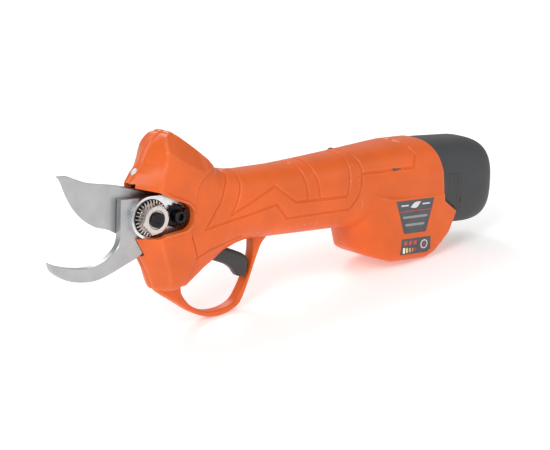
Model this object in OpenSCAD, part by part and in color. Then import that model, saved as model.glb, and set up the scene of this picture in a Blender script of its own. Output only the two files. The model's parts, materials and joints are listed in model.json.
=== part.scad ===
// Battery electric pruner: a pistol-handled secateur with one powered blade.
// Modules are drawn in the tool's own frame: the blade pivot is the origin, +X runs back along the
// handle, +Z is up and Y = 0 is the seam between the two housing shells. stand() then leans the
// whole tool nose-up, so that it rests on the trigger guard and the controller box.

/* [Stance] */
// Nose-up lean of the tool when it stands on the guard and the box, degrees
lean = 8.5; // [8:0.1:9]
// Distance from the middle of the tool's length forward to the blade pivot
pivot_ahead = 89.5; // [80:0.1:100]
// Height of the blade pivot above the surface the tool stands on
pivot_height = 68.6; // [60:0.1:80]

/* [Housing] */
// Wall thickness of the moulded shells
wall = 2.2; // [1.8:0.1:2.4]
// Half the width of the flat sides of the head
head_half = 14.4; // [14.2:0.1:14.6]
// Half the width of the blunt front of the head
nose_half = 6; // [5.5:0.1:6.5]
// Width of the trigger guard
guard_w = 8; // [7:0.5:9]

/* [Blades] */
// Thickness of the fixed hooked counter blade
hook_t = 4.7; // [4:0.1:4.7]
// Thickness of the moving cutting blade
blade_t = 3.5; // [3:0.1:3.5]
// Radius of the bearing hub and of the counter blade's root
hub_r = 11.8; // [11.5:0.1:12]
// Radius of the cutting blade's round root
root_r = 13; // [12.5:0.1:13]
// Diameter of the pivot bolt
bolt_d = 8.6; // [8:0.1:9]

/* [Drive] */
// Outer radius of the planetary gearbox
gearbox_r = 11.6; // [11.4:0.1:11.8]
// Outer radius of the motor can
motor_r = 13.5; // [12:0.5:13.5]
// Pitch radius of the toothed sector on the cutting blade
sector_r = 18; // [17:0.5:18]
// Pitch radius of the bevel pinion
pinion_r = 5; // [4.5:0.1:5]

/* [Battery] */
// Half the width of the battery pack
pack_half = 22; // [21.5:0.5:22.5]
// Diameter of one battery cell
cell_d = 18; // [17.8:0.1:18]
// Length of one battery cell
cell_len = 65; // [64:0.5:65]

/* [Hidden] */
eps = 0.01;
slice_t = 1;
$fn = 48;

orange = [0.93, 0.38, 0.06];
dark = [0.24, 0.25, 0.26];
steel = [0.72, 0.72, 0.74];
bright = [0.82, 0.83, 0.85];
gear_grey = [0.5, 0.5, 0.52];
black = [0.09, 0.09, 0.1];

// Planetary gearbox: teeth of the sun, planet and ring, and the pitch radius of one tooth
sun_teeth = 12;
planet_teeth = 18;
ring_teeth = sun_teeth + 2 * planet_teeth;
tooth_r = 0.2;
orbit_r = (sun_teeth + planet_teeth) * tooth_r;
tooth_gap = 0.12;
tooth_depth = 0.45;
gear_w = 7;
carrier_r = 8.2;
post_r = 1;

// Places along the handle
gearbox_x0 = 27;
second_x0 = 33;
first_x0 = 46;
gearbox_x1 = 60;
motor_x0 = 60.2;
motor_x1 = 108;
pack_seam = 198;
pack_neck_x0 = 160;
pack_end = 242;
cell_x0 = pack_neck_x0 + 4;

// Fits: round the bolt and other fixed parts, round turning parts, and round sliding parts
fixed_fit = 0.05;
bush_t = 1.5;
slide_fit = 0.3;
bolt_hole_r = bolt_d / 2 + fixed_fit;
bush_hole_r = bolt_d / 2 + bush_t + fixed_fit;

// The pivot, from the nut in front to the drive sector behind
nut_face = -14.2;
hub_y = -8;
bracket_t = 1.4;
ring_t = 1.6;
star_x = 15.4;
screw_t = 0.2;
blade_gap = 0.3;
sector_y0 = blade_gap + blade_t;
sector_y1 = 9;
disc_r = 9.6;
disc_back = 5.6;
pin_r = 1.2;
pin_orbit = 7.6;

// Trigger, board, plates on the cheek, and battery neck
trigger_pivot = [46, -21];
magnet_place = [52, -27];
lead_x = 149;
lead_z = -9;
lead_r = 0.9;
board_z = -31;
board_t = 1.6;
cheek_y = -23;
plate_back = -22.4;
box_bottom = -41;
pack_wall = 1.6;
neck_half = 20;
neck_low = -20;
neck_top = 22;
neck_round = 9;

// ---- helpers -------------------------------------------------------------------------------

// Leans a piece drawn in the tool's frame into the standing frame.
module stand() {
    translate([-pivot_ahead, 0, pivot_height]) rotate([0, lean, 0]) children();
}

// A side outline in X and Z given the thickness from y0 to y1.
module side_plate(y0, y1) {
    translate([0, y1, 0]) rotate([90, 0, 0]) linear_extrude(y1 - y0) children();
}

// A round bar along Y from y0 to y1.
module bar_y(r, y0, y1, x = 0, z = 0) {
    translate([x, y1, z]) rotate([90, 0, 0]) cylinder(r = r, h = y1 - y0);
}

// A round bar along X from x0 to x1.
module bar_x(r, x0, x1, y = 0, z = 0) {
    translate([x0, y, z]) rotate([0, 90, 0]) cylinder(r = r, h = x1 - x0);
}

// A rounded-rectangle slice across the handle, for hulls.
module slice(x, half, z0, z1, r) {
    for (y = [-half + r, half - r], z = [z0 + r, z1 - r])
        translate([x, y, z]) rotate([0, 90, 0]) cylinder(r = r, h = slice_t, $fn = 32);
}

// A block along X from x0 to x1 whose four long edges are rounded.
module rounded_block(x0, x1, half, z0, z1, r) {
    translate([x0, 0, 0]) rotate([90, 0, 90]) linear_extrude(x1 - x0) {
        translate([-half, z0 + r]) square([2 * half, z1 - z0 - 2 * r]);
        translate([-half + r, z0]) square([2 * (half - r), z1 - z0]);
        for (y = [-half + r, half - r], z = [z0 + r, z1 - r]) translate([y, z]) circle(r = r);
    }
}

// Outline of a spur gear with straight-flanked teeth.
module gear_outline(teeth, tip_r, root_r, tip_share = 0.3, root_share = 0.6) {
    pitch = 360 / teeth;
    polygon([for (i = [0 : teeth - 1], p = [[-root_share / 2, root_r], [-tip_share / 2, tip_r],
                                            [tip_share / 2, tip_r], [root_share / 2, root_r]])
        p[1] * [cos((i + p[0]) * pitch), sin((i + p[0]) * pitch)]]);
}

// A spur gear on an axis along X.
module gear_x(teeth, tip_r, root_r, x0, w) {
    translate([x0, 0, 0]) rotate([0, 90, 0]) linear_extrude(w) gear_outline(teeth, tip_r, root_r);
}

// ---- housing -------------------------------------------------------------------------------

// Stations of the handle: x, half width, bottom, top, corner radius.
handle_stations = [
    [24, 14.4, -29, 36, 8], [42, 15, -25, 27, 10], [56, 16.4, -20, 20.5, 14], [86, 17, -20, 21, 16],
    [111, 17.8, -20, 23, 17], [133, 19, -20, 25, 18], [172, 22, -24, 28.5, 19], [200, 22.6, -24, 28, 19]];

// The body of the housing, shrunk by g all round: head, handle and controller box.
module housing_body(g) {
    head_block(g);
    for (i = [0 : len(handle_stations) - 2]) hull() {
        station(handle_stations[i], g);
        station(handle_stations[i + 1], g);
    }
    controller_box(g);
}

module station(s, g) {
    slice(s[0], s[1] - g, s[2] + g, s[3] - g, s[4] - g);
}

// Head: a blunt nose in front and two flat cheeks.
nose_outline = [[-12, -10], [-11, 18], [-1, 29], [5, 40], [10, 43.5], [18, 43], [24, 39], [24, -42],
                [13, -44], [7, -41], [2, -30], [-4, -20]];
cheek_outline = [[3, -11], [2, 15], [9, 41], [20, 40], [42, 26], [42, -29], [24, -41], [13, -41.5], [9, -28]];

module head_block(g) {
    hull() {
        side_plate(-nose_half + g / 2, nose_half - g / 2) offset(delta = -g) polygon(nose_outline);
        side_plate(-head_half + g, head_half - g) offset(delta = -g) polygon(cheek_outline);
    }
}

// Controller box under the rear of the handle: a round front, and cheeks that flare out behind it.
box_front = [[147, 4.5, 6, -30], [155, 12.5, 8, -37.5]];

module controller_box(g) {
    hull() {
        for (side = [-1, 1], p = box_front)
            translate([p[0], side * p[1], p[3] + g]) cylinder(r = p[2] - g, h = -12 - p[3] - g, $fn = 32);
        for (side = [-1, 1], x = [163, 186.7])
            translate([x - g / 2, side * (20 - g), box_bottom + g]) cylinder(r = 3, h = 6, $fn = 24);
        for (side = [-1, 1]) translate([203 - g / 2, side * (18 - g), -28 + g]) sphere(r = 3, $fn = 16);
        for (side = [-1, 1], x = [166, 200])
            translate([x, side * (23 - g - 3), -16]) cylinder(r = 3, h = 8, $fn = 24);
        translate([208 - g, -17 + g, -16]) cube([eps, 34 - 2 * g, 3]);
    }
}

// Trigger guard: the outer outline less the finger opening.
guard_outer = [[8, -38], [10, -43.5], [21, -50.5], [32, -57.5], [42, -61.3], [50, -61.9], [60, -59.5],
               [65, -57], [68.5, -50], [74, -34], [81, -22], [86, -18.6], [40, -18.6]];
finger_opening = [[28, -38.5], [42, -30.5], [50, -25.5], [62, -20.5], [73, -20.5], [73, -29], [72, -33],
                  [69.5, -41], [66, -47], [62, -53.5], [58, -56], [46, -58.3], [39, -57.2], [31, -53.5],
                  [26, -48], [25, -43]];

module guard() {
    side_plate(-guard_w / 2, guard_w / 2) difference() {
        polygon(guard_outer);
        polygon(finger_opening);
    }
}

// Slot in the cheek that shows the pivot nut: wide at the nose, round behind the lock gear.
module cheek_slot() {
    polygon([[-20, 19], [-12, 17], [2, 14], [17, 8], [17, -7.6], [2, -11], [-12, -12], [-20, -13]]);
    translate([star_x - 0.4, 0]) circle(r = 8);
}

screw_places = [[33, 24], [58, -16.3], [117, -15], [140, 21], [156, -35], [20, -36]];

module bosses() {
    for (p = screw_places) bar_y(3.4, -19, 19, p[0], p[1]);
    for (side = [-1, 1]) bar_y(3, side * 12 - 7, side * 12 + 7, trigger_pivot[0], trigger_pivot[1]);
}

// Holes in one shell for the screws, whose heads are all on the right, and for the trigger pin.
module boss_holes(side) {
    for (p = screw_places) {
        bar_y(1.7, -10, 12, p[0], p[1]);
        if (side > 0) bar_y(3, 11.8, 30, p[0], p[1]);
    }
    bar_y(1.55, -8.2, 8.2, trigger_pivot[0], trigger_pivot[1]);
}

// One shell: side is -1 for the left and +1 for the right.
module shell(side) {
    difference() {
        union() {
            difference() {
                union() {
                    housing_body(0);
                    guard();
                }
                housing_body(wall);
                battery_mouth(260);
            }
            intersection() {
                housing_body(0.5);
                bosses();
            }
        }
        translate([-100, side < 0 ? 0 : -100, -100]) cube([400, 100, 200]);
        rear_cut();
        blade_slot();
        if (side < 0) left_openings();
        if (side > 0) {
            bar_y(8, 5, 30);
            bar_y(disc_r + 0.4, 0, disc_back + 0.4);
        }
        trigger_slot();
        boss_holes(side);
        light_frame() translate([0, 0, -6]) cylinder(r = 2.4, h = 12);
    }
}

// Openings of the left shell: the cheek slot, the seats of the plates and the button's hole.
module left_openings() {
    side_plate(-30, 1) cheek_slot();
    side_plate(-30, plate_back) {
        badge_outline();
        panel_outline();
    }
    bar_y(2.9, -30, -15, button_place[0], button_place[1]);
}

// The way in for the battery neck, inside the rear of the handle.
module battery_mouth(x1) {
    neck_block(pack_neck_x0 - 1, x1, slide_fit);
}

// The battery neck's block from x0 to x1, larger by grow all round.
module neck_block(x0, x1, grow) {
    rounded_block(x0, x1, neck_half + grow, neck_low - grow, neck_top + grow, neck_round + grow);
}

// Side outline of the space behind the housing's rear edge, which steps back below the latch.
module behind_seam(gap, bottom) {
    polygon([[pack_seam - 6 + gap, 40], [pack_seam - 1 + gap, 18], [pack_seam + 0.5 + gap, -7],
             [pack_seam + 12 + gap, -15], [pack_seam + 12 + gap, bottom], [260, bottom], [260, 40]]);
}

module rear_cut() {
    side_plate(-40, 40) behind_seam(0, -20);
}

// Slot through the nose where the two blades come out and the cutting blade swings.
module blade_slot() {
    side_plate(-hook_t - 0.4, blade_t + 0.9)
        polygon([[-20, 18], [6, 18], [6, -30], [-2, -33], [-20, -24]]);
}

module trigger_slot() {
    side_plate(-4.8, 4.8)
        polygon([[38, -14], [60, -14], [73, -17], [73, -20.6], [62, -20.6], [44, -30.8], [39, -34], [37, -24]]);
}

module left_housing() {
    color(orange) stand() shell(-1);
}

module right_housing() {
    color(orange) stand() shell(1);
}

module housing_screws() {
    color(dark) stand() for (p = screw_places) {
        bar_y(1.5, -9.5, 11.8, p[0], p[1]);
        bar_y(2.8, 11.8, 13.8, p[0], p[1]);
    }
}

// ---- blades and pivot ----------------------------------------------------------------------

// Points along a circle arc from a0 to a1 degrees.
function arc(cx, cz, r, a0, a1, n) =
    [for (i = [0 : n]) [cx + r * cos(a0 + (a1 - a0) * i / n), cz + r * sin(a0 + (a1 - a0) * i / n)]];

// Hooked counter blade: a horn that curls forward from a broad root with a straight front edge.
hook_outline = concat(
    [[-60, -19.5], [-57, -25]], arc(-37.5, 10, 41.5, 242, 292, 8),
    [[-14, -25.5], [-2, -23], [4, -12], [4, 10.8], [-16.6, 10.8], [-16.6, -8], [-17.2, -12.3], [-18.9, -15.8]],
    [[-22.5, -19], [-31, -23.2], [-40, -24.4], [-50, -22.8]]);

module counter_blade() {
    color(steel) stand() difference() {
        union() {
            side_plate(-hook_t, 0) polygon(hook_outline);
            bar_y(hub_r, -hook_t, 0);
        }
        bar_y(bush_hole_r, -10, 5);
    }
}

// Machined hub that clamps the counter blade to the head bracket.
module bearing_hub() {
    color(steel) stand() difference() {
        bar_y(hub_r, hub_y + bracket_t, -hook_t);
        bar_y(bolt_hole_r, -20, 5);
    }
}

// Bracket plate that fills the slot and ties the pivot to the gearbox.
module head_bracket() {
    color(bright) stand() difference() {
        union() {
            side_plate(hub_y, hub_y + bracket_t) bracket_outline();
            translate([gearbox_x0 - 4, hub_y, -10]) cube([4, -2 * hub_y, 20]);
        }
        bar_y(bolt_hole_r, -20, 5);
        bar_y(2.05, -20, 0, star_x);
        bar_x(5.6, 20, 30);
    }
}

module bracket_outline() {
    circle(r = hub_r);
    translate([0, -hub_r]) square([gearbox_x0, 2 * hub_r]);
}

// Moving blade: broad curved cutter with a round root.
blade_outline = concat(
    [[-52.5, 25.5], [-47, 25.2], [-42, 23.2], [-33, 20.2], [-15, 17.3], [4, 12.4], [12.4, 4]],
    [[0, -12.9], [-16, -8.5]], [[-22, -5.6], [-30, -3.4], [-38, 1.6], [-44, 8], [-48, 14.5], [-50.6, 20]]);

module cutting_blade() {
    color(steel) stand() difference() {
        union() {
            side_plate(blade_gap, sector_y0) polygon(blade_outline);
            bar_y(root_r, blade_gap, sector_y0);
        }
        bar_y(bush_hole_r, -10, 20);
        pin_bars(-10, 20);
    }
}

// The three pins that tie the blade to its sector, from y0 to y1.
module pin_bars(y0, y1) {
    for (a = [60, 180, 300]) bar_y(pin_r, y0, y1, pin_orbit * cos(a), pin_orbit * sin(a));
}

// Bush that the cutting blade and its sector turn on.
module pivot_bush() {
    color([0.75, 0.6, 0.3]) stand() difference() {
        bar_y(bolt_d / 2 + bush_t, -hook_t, sector_y1 + 0.2);
        bar_y(bolt_hole_r, -20, 20);
    }
}

module pivot_bolt() {
    color(dark) stand() {
        bar_y(bolt_d / 2, -15.5, 9.3);
        side_plate(9.3, 13.8) circle(r = 7.4, $fn = 6);
    }
}

module pivot_nut() {
    color(steel) stand() difference() {
        side_plate(nut_face, hub_y - ring_t) rotate(14) circle(r = 8.6, $fn = 6);
        bar_y(bolt_hole_r, -20, 5);
    }
}

// Serrated ring under the nut; the lock gear stops it from turning.
module lock_ring() {
    color(steel) stand() difference() {
        side_plate(hub_y - ring_t, hub_y) gear_outline(32, 10.3, 9, 0.25, 0.7);
        bar_y(bolt_hole_r, -20, 5);
    }
}

module lock_gear() {
    color(black) stand() difference() {
        translate([star_x, 0, 0]) side_plate(hub_y - ring_t - screw_t, hub_y)
            rotate(180) gear_outline(12, 6.2, 4.6, 0.15, 0.7);
        bar_y(2.05, -20, 5, star_x);
        side_plate(hub_y - ring_t - 1, hub_y + 1) gear_outline(32, 10.4, 9.1, 0.4, 0.8);
    }
}

module lock_screw() {
    head_y = hub_y - ring_t - screw_t;
    color(black) stand() difference() {
        union() {
            bar_y(2, head_y, -5, star_x);
            bar_y(3.6, head_y - 5, head_y, star_x);
        }
        translate([star_x, 0, 0]) side_plate(-20, head_y - 2) circle(r = 2, $fn = 6);
    }
}

// ---- drive ---------------------------------------------------------------------------------

cone_slope = pinion_r / sector_r;

// The gap between two bevel teeth, along the pitch cone whose tip is the blade pivot.
module cone_notch() {
    rotate([0, 0, atan(cone_slope)]) translate([14.6, -0.6, -0.4]) cube([8, 1.5, 0.8]);
}

// The toothed part of the sector: a wedge of a bevel gear blank from y0 to y1.
module sector_blank(y0, y1) {
    wedge = 32;
    intersection() {
        bar_y(sector_r + 3, y0, y1);
        translate([0, y1, 0]) rotate([90, 0, 0])
            cylinder(r1 = (y1 - tooth_gap) / cone_slope, r2 = (y0 - tooth_gap) / cone_slope, h = y1 - y0);
        side_plate(y0 - 1, y1 + 1)
            polygon(concat([[0, 0]], [for (a = [-66, -25, 16]) wedge * [cos(a), sin(a)]]));
    }
}

// Bevel-toothed sector fixed behind the cutting blade.
module drive_sector() {
    color(gear_grey) stand() difference() {
        union() {
            bar_y(disc_r, sector_y0, disc_back);
            sector_blank(sector_y0, sector_y1);
        }
        for (i = [0 : 11]) rotate([0, 57.5 - i * 5.9, 0]) cone_notch();
        bar_y(bush_hole_r, -10, 20);
        pin_bars(-10, 20);
    }
}

module sector_pins() {
    color(steel) stand() pin_bars(blade_gap, disc_back);
}

module bevel_pinion() {
    x0 = 14.5;
    x1 = 20.5;
    color(gear_grey) stand() difference() {
        translate([x0, 0, 0]) rotate([0, 90, 0])
            cylinder(r1 = x0 * cone_slope - tooth_gap, r2 = x1 * cone_slope - tooth_gap, h = x1 - x0);
        bar_x(2.5, 0, 40);
        for (a = [0 : 45 : 315]) rotate([a, 0, 0]) cone_notch();
    }
}

module output_bearing() {
    color(steel) stand() difference() {
        bar_x(5.55, 23, 27);
        bar_x(2.55, 20, 30);
    }
}

// Output carrier: the pinion shaft with three planet posts behind its plate.
module output_carrier() {
    color(steel) stand() {
        bar_x(2.5, 14.5, 31);
        bar_x(carrier_r, 31, second_x0 - 0.2);
        planet_posts(second_x0 - 0.2, second_x0 + gear_w);
    }
}

module planet_posts(x0, x1) {
    for (a = [0, 120, 240]) rotate([a, 0, 0]) bar_x(post_r, x0, x1, 0, orbit_r);
}

// One planet wheel on the post at angle a.
module planet(a, x0) {
    pitch_r = planet_teeth * tooth_r;
    color(steel) stand() rotate([a, 0, 0]) translate([0, 0, orbit_r]) difference() {
        gear_x(planet_teeth, pitch_r - tooth_gap, pitch_r - tooth_depth, x0, gear_w);
        bar_x(post_r + fixed_fit, x0 - 1, x0 + gear_w + 1);
    }
}

module sun(x0) {
    gear_x(sun_teeth, sun_teeth * tooth_r - tooth_gap, sun_teeth * tooth_r - tooth_depth, x0, gear_w);
}

module first_carrier() {
    color(steel) stand() {
        sun(second_x0);
        bar_x(1.9, second_x0 + gear_w, first_x0 - 2.2);
        bar_x(carrier_r, first_x0 - 2.2, first_x0 - 0.2);
        planet_posts(first_x0 - 0.2, first_x0 + gear_w);
    }
}

module gearbox_case() {
    color(steel) stand() difference() {
        bar_x(gearbox_r, gearbox_x0, gearbox_x1);
        bar_x(2.7, gearbox_x0 - 1, gearbox_x1);
        translate([30, 0, 0]) rotate([0, 90, 0]) linear_extrude(40)
            gear_outline(ring_teeth, ring_teeth * tooth_r + tooth_depth, ring_teeth * tooth_r + tooth_gap);
    }
}

module motor_can() {
    color(gear_grey) stand() difference() {
        bar_x(motor_r, motor_x0, motor_x1);
        bar_x(motor_r - 1.5, motor_x0 + 2, motor_x1 + 1);
        bar_x(4, motor_x0 - 1, motor_x0 + 3);
    }
}

module motor_rotor() {
    color([0.7, 0.4, 0.2]) stand() {
        sun(first_x0);
        bar_x(1.5, first_x0 + gear_w, motor_x1 + 3);
        bar_x(motor_r - 2.5, motor_x0 + 6, motor_x1 - 6);
    }
}

module motor_bearings() {
    color(steel) stand() for (x = [motor_x0, motor_x1]) difference() {
        bar_x(3.95, x, x + 2);
        bar_x(1.55, x - 1, x + 3);
    }
}

module motor_end_cap() {
    color(dark) stand() difference() {
        union() {
            bar_x(motor_r, motor_x1, motor_x1 + 2);
            bar_x(6, motor_x1 + 2, motor_x1 + 4);
        }
        bar_x(4, motor_x1 - 1, motor_x1 + 2);
        bar_x(2, motor_x1 - 1, motor_x1 + 5);
    }
}

module motor_leads() {
    color("crimson") stand() for (y = [-6, 0, 6]) {
        bar_x(lead_r, motor_x1 + 2, lead_x, y, lead_z);
        translate([lead_x, y, lead_z]) sphere(r = lead_r);
        translate([lead_x, y, board_z + board_t]) cylinder(r = lead_r, h = lead_z - board_z - board_t);
    }
}

// ---- trigger -------------------------------------------------------------------------------

// Side outline of the trigger: a crescent with its concave edge to the finger.
trigger_outline = [[43, -19], [49, -18], [53, -22.5], [60, -25], [67, -28], [69.7, -30.5], [68.8, -37],
                   [67, -40.5], [64.5, -41], [62.5, -39.5], [60, -36.5], [56.5, -33.8], [50, -31.3],
                   [42.5, -29.8]];

module trigger() {
    color(dark) stand() difference() {
        side_plate(-4.2, 4.2) polygon(trigger_outline);
        bar_y(1.55, -10, 10, trigger_pivot[0], trigger_pivot[1]);
        bar_y(1.6, -4.5, -1.5, magnet_place[0], magnet_place[1]);
        bar_y(2.7, -1.2, 1.2, trigger_pivot[0], trigger_pivot[1]);
    }
}

module trigger_pin() {
    color(steel) stand() bar_y(1.5, -8, 8, trigger_pivot[0], trigger_pivot[1]);
}

module trigger_spring() {
    color(steel) stand() difference() {
        bar_y(2.5, -1, 1, trigger_pivot[0], trigger_pivot[1]);
        bar_y(1.6, -2, 2, trigger_pivot[0], trigger_pivot[1]);
    }
}

module trigger_magnet() {
    color(steel) stand() bar_y(1.5, -4, -1.6, magnet_place[0], magnet_place[1]);
}

module trigger_sensor() {
    color("darkgreen") stand() {
        translate([62, -4.5, -17.2]) cube([14, 9, 1.2]);
        translate([65, -2, -18.4]) cube([4, 4, 1.2]);
    }
}

// ---- controls ------------------------------------------------------------------------------

// The board follows the round front of the box; chips sit on its upper face.
module control_board() {
    color("darkgreen") stand() {
        translate([0, 0, board_z]) linear_extrude(board_t)
            polygon([[147.8, -7.2], [153.5, -12.6], [188, -13], [188, 13], [153.5, 12.6], [147.8, 7.2]]);
        for (i = [0 : 2]) translate([154 + i * 9, -11, board_z + board_t]) cube([6, 8, 3]);
        translate([180, -2, board_z + board_t]) cube([6, 8, 1.2]);
    }
}

module board_capacitor() {
    color("navy") stand() bar_x(4, 156, 174, 6, board_z + board_t + 4);
}

module terminal_block() {
    color(dark) stand() difference() {
        translate([pack_neck_x0 - 7, -16, -14]) cube([5.5, 32, 28]);
        for (y = contact_rows) translate([pack_neck_x0 - 5, y, -6]) cube([5, 1.2, 8]);
    }
}

contact_rows = [-11, -3, 5, 11];
button_place = [183.5, -31];

// Trapezoid badge plate on the box's left cheek.
module badge_outline() {
    polygon([[160.5, -3.5], [190.5, -3.5], [185, -24], [167.5, -24]]);
}

module panel_outline() {
    polygon([[166, -26.5], [189, -26.5], [189, -34.5], [186.5, -36.3], [166, -36.3]]);
}

module badge_plate() {
    color(dark) stand() side_plate(cheek_y - 0.2, plate_back) badge_outline();
}

module control_panel() {
    color(dark) stand() difference() {
        side_plate(cheek_y - 0.2, plate_back) panel_outline();
        bar_y(2.9, -30, 0, button_place[0], button_place[1]);
    }
}

module power_button() {
    color(bright) stand()
        bar_y(2.75, cheek_y - 0.5, cheek_y + 1.6, button_place[0], button_place[1]);
}

module status_lenses() {
    color("firebrick") stand() for (i = [0 : 2])
        translate([168 + i * 3.6, cheek_y - 0.35, -30.6]) cube([2.6, 0.15, 2.6]);
}

module level_lenses() {
    color("gold") stand() for (i = [0 : 4])
        translate([167.4 + i * 2.3, cheek_y - 0.35, -35.2]) cube([1.3, 0.15, 3.2]);
}

// Axis of the work light, square to the nose above the blades.
module light_frame() {
    translate([-5.6, 0, 24]) rotate([0, -48, 0]) children();
}

module work_light() {
    color("whitesmoke") stand() light_frame() translate([0, 0, -3]) cylinder(r = 2.3, h = 4.4);
}

// ---- battery -------------------------------------------------------------------------------

// Neck that slides into the handle, holding the front of the cells.
module battery_case() {
    color(dark) stand() difference() {
        neck_block(pack_neck_x0, pack_seam + 1, 0);
        neck_block(pack_neck_x0 + pack_wall, pack_seam + 2, -pack_wall);
    }
}

// Stations of the pack's outer body: x, half width, bottom, top, corner radius.
cap_stations = [[pack_seam - 8, 1, -24, 27.5, 18], [pack_seam + 27, 1, -24.5, 27, 18],
                [pack_end - 9, 0.92, -22.5, 23.5, 16], [pack_end - 3, 0.78, -18.5, 18, 13],
                [pack_end - slice_t, 0.62, -14, 13, 10]];

module cap_body(g) {
    for (i = [0 : len(cap_stations) - 2]) hull() {
        cap_station(cap_stations[i], g);
        cap_station(cap_stations[i + 1], g);
    }
}

module cap_station(s, g) {
    slice(s[0] - g, s[1] * pack_half - g, s[2] + g, s[3] - g, s[4] - g);
}

module battery_cap() {
    color(dark) stand() intersection() {
        side_plate(-40, 40) behind_seam(0.4, -40);
        difference() {
            cap_body(0);
            cap_body(pack_wall);
            battery_mouth(pack_seam + 1);
            for (side = [-1, 1]) side_plate(side * pack_half - 4, side * pack_half + 4) latch_outline(0.3);
        }
    }
}

module battery_cells() {
    color("royalblue") stand() for (y = [-1, 1], z = [-1, 1])
        bar_x(cell_d / 2 - 0.05, cell_x0, cell_x0 + cell_len, y * cell_d / 2, z * cell_d / 2 + 1);
}

module battery_contacts() {
    color("gold") stand() for (y = contact_rows)
        translate([pack_neck_x0 + 1.9, y, -6]) cube([1.6, 1.2, 8]);
}

// Release latch: a ribbed pad let into the side of the pack.
module latch_outline(g) {
    offset(delta = g) polygon([[199.8, 9.5], [214, 9.5], [214, -15], [210.9, -14.6], [199.8, -7]]);
}

module latch(side) {
    face = side * (pack_half - 0.4);
    color(dark) stand() difference() {
        side_plate(min(face, face - side * 2), max(face, face - side * 2)) latch_outline(0);
        for (i = [0 : 3])
            side_plate(face - 0.6, face + 0.6)
                translate([201.6 + i * 3.1, -4.5 - i * 2.1]) square([1.3, 11 + i * 2.1]);
    }
}

// Spring behind a latch, in the free space between the cells.
module latch_spring(side) {
    inner = side * (pack_half - 2.4);
    color(steel) stand() bar_y(1.2, min(inner, inner - side * 5), max(inner, inner - side * 5), 206, 1);
}

left_housing();
right_housing();
head_bracket();
counter_blade();
bearing_hub();
cutting_blade();
pivot_bush();
pivot_bolt();
pivot_nut();
lock_ring();
lock_gear();
lock_screw();
drive_sector();
sector_pins();
bevel_pinion();
output_bearing();
output_carrier();
planet(0, second_x0);  // output_planet_1
planet(120, second_x0);  // output_planet_2
planet(240, second_x0);  // output_planet_3
gearbox_case();
first_carrier();
planet(0, first_x0);  // first_planet_1
planet(120, first_x0);  // first_planet_2
planet(240, first_x0);  // first_planet_3
motor_can();
motor_rotor();
motor_bearings();
motor_end_cap();
motor_leads();
trigger();
trigger_pin();
trigger_spring();
trigger_magnet();
trigger_sensor();
control_board();
board_capacitor();
terminal_block();
badge_plate();
control_panel();
power_button();
status_lenses();
level_lenses();
work_light();
housing_screws();
battery_case();
battery_cap();
battery_cells();
battery_contacts();
latch(-1);  // left_latch
latch(1);  // right_latch
latch_spring(-1);  // left_latch_spring
latch_spring(1);  // right_latch_spring
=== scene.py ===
# %% [markdown]
# # A battery electric pruner
# A pistol-handled secateur: orange moulded shells hold a motor and gearbox, a powered cutting blade closes on
# a fixed hooked one, and a battery slides on behind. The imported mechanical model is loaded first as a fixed
# frame. Every visible skin is then worked out with numpy around it, in the tool's own frame: the blade pivot
# is the origin, +X runs back along the handle, +Z is up, and Y = 0 is the seam between the two shells.

# %% Load the frame
import json
import math
import bpy
import bmesh
import numpy as np
from mathutils import Matrix, Vector


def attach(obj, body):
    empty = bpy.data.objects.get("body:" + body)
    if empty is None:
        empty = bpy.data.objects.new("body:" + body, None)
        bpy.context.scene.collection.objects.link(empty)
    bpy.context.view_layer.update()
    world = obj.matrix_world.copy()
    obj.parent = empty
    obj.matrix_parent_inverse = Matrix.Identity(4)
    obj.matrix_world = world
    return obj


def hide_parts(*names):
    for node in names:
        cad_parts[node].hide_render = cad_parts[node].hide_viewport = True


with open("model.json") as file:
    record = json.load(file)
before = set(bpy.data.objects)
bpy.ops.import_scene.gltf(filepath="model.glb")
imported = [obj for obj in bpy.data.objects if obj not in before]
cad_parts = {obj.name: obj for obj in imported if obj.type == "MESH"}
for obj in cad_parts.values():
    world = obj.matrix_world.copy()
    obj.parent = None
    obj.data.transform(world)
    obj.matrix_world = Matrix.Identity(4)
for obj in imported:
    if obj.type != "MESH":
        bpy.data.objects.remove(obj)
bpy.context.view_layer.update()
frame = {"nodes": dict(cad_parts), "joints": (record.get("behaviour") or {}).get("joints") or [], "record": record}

# %% [markdown]
# The tool stands leaning nose-up on its guard and its controller box. The joints of the frame say where the
# blade pivot is and which way the handle runs, so the lean is read from them, and one function takes points
# in millimetres from the tool's frame to metres in the frame of the model.

# %% From the tool's frame to the standing frame
joints = {joint["name"]: joint for joint in frame["joints"]}
pivot = np.array(joints["blade_swing"]["pos_m"])
handle_axis = joints["output_spin"]["axis"]
lean = math.atan2(-handle_axis[2], handle_axis[0])
lean_matrix = np.array([[math.cos(lean), 0, math.sin(lean)], [0, 1, 0], [-math.sin(lean), 0, math.cos(lean)]])
MM = 0.001


def stand(points):
    """Points in the tool's frame, in mm, turned by the lean about Y and moved to the pivot, in metres."""
    return np.asarray(points, float) @ lean_matrix.T * MM + pivot


print("lean %.1f degrees, pivot at" % math.degrees(lean), pivot.round(4))

# %% [markdown]
# ## Meshes from arrays
# A surface is a grid of points, and a grid's faces follow from its size alone. These helpers turn arrays into
# mesh objects that ride on a body of the frame, stand for its plain solids, and carry a finish.

# %% Faces of a grid, and an object from arrays
def grid_faces(rows, columns, around=False):
    """Quads of a grid of points stored row by row; around joins the last column to the first."""
    last = columns if around else columns - 1
    i, j = np.meshgrid(np.arange(rows - 1), np.arange(last), indexing="ij")
    k = (j + 1) % columns
    here, beyond = i * columns, (i + 1) * columns
    return np.stack([here + j, here + k, beyond + k, beyond + j], -1).reshape(-1, 4)


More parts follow.
